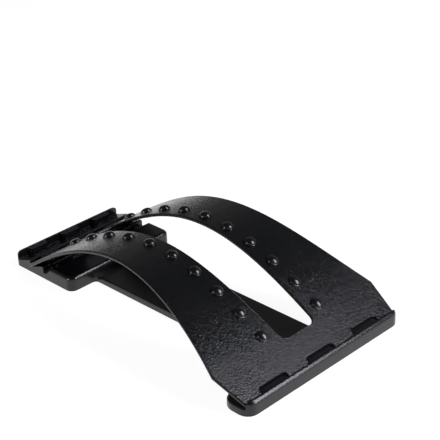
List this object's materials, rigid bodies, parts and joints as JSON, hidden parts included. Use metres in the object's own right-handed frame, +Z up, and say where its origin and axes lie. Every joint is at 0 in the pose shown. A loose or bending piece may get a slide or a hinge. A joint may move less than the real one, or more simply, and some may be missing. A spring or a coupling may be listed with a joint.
{
  "type": "lumbar back stretcher",
  "caption": "Springy arched board with two rows of domed massage studs beside a long slot, bowed between a lip and stepped height grooves on a moulded base.",
  "frame": {"origin": "on the floor, under the middle of the overall box, which is the middle of the base's length", "axes": "+Y along the base from the near lip towards the height grooves, +X across it, +Z up"},
  "size_m": [0.2234, 0.3766, 0.0819],
  "materials": {
    "base_plastic": "black injection-moulded plastic, fine satin grain",
    "board_plastic": "black injection-moulded plastic, leather grain with smooth edges",
    "stud_plastic": "black plastic, polished domes",
    "pad_rubber": "black rubber, matt"
  },
  "bodies": {
    "base": {"base_frame": "base_plastic", "rubber_pad_near_left": "pad_rubber", "rubber_pad_near_right": "pad_rubber", "rubber_pad_far_left": "pad_rubber", "rubber_pad_far_right": "pad_rubber"},
    "board": {"arch_board": "board_plastic", "massage_stud_left_01": "stud_plastic", "massage_stud_left_02": "stud_plastic", "massage_stud_left_03": "stud_plastic", "massage_stud_left_04": "stud_plastic", "massage_stud_left_05": "stud_plastic", "massage_stud_left_06": "stud_plastic", "massage_stud_left_07": "stud_plastic", "massage_stud_left_08": "stud_plastic", "massage_stud_left_09": "stud_plastic", "massage_stud_left_10": "stud_plastic", "massage_stud_right_01": "stud_plastic", "massage_stud_right_02": "stud_plastic", "massage_stud_right_03": "stud_plastic", "massage_stud_right_04": "stud_plastic", "massage_stud_right_05": "stud_plastic", "massage_stud_right_06": "stud_plastic", "massage_stud_right_07": "stud_plastic", "massage_stud_right_08": "stud_plastic", "massage_stud_right_09": "stud_plastic", "massage_stud_right_10": "stud_plastic"}
  },
  "joints": [
    {"name": "arch_tip", "type": "hinge", "parent": "base", "child": "board", "pos_m": [0, -0.1801, 0.01065], "axis": [1, 0, 0], "range_deg": [0, 60]}
  ]
}
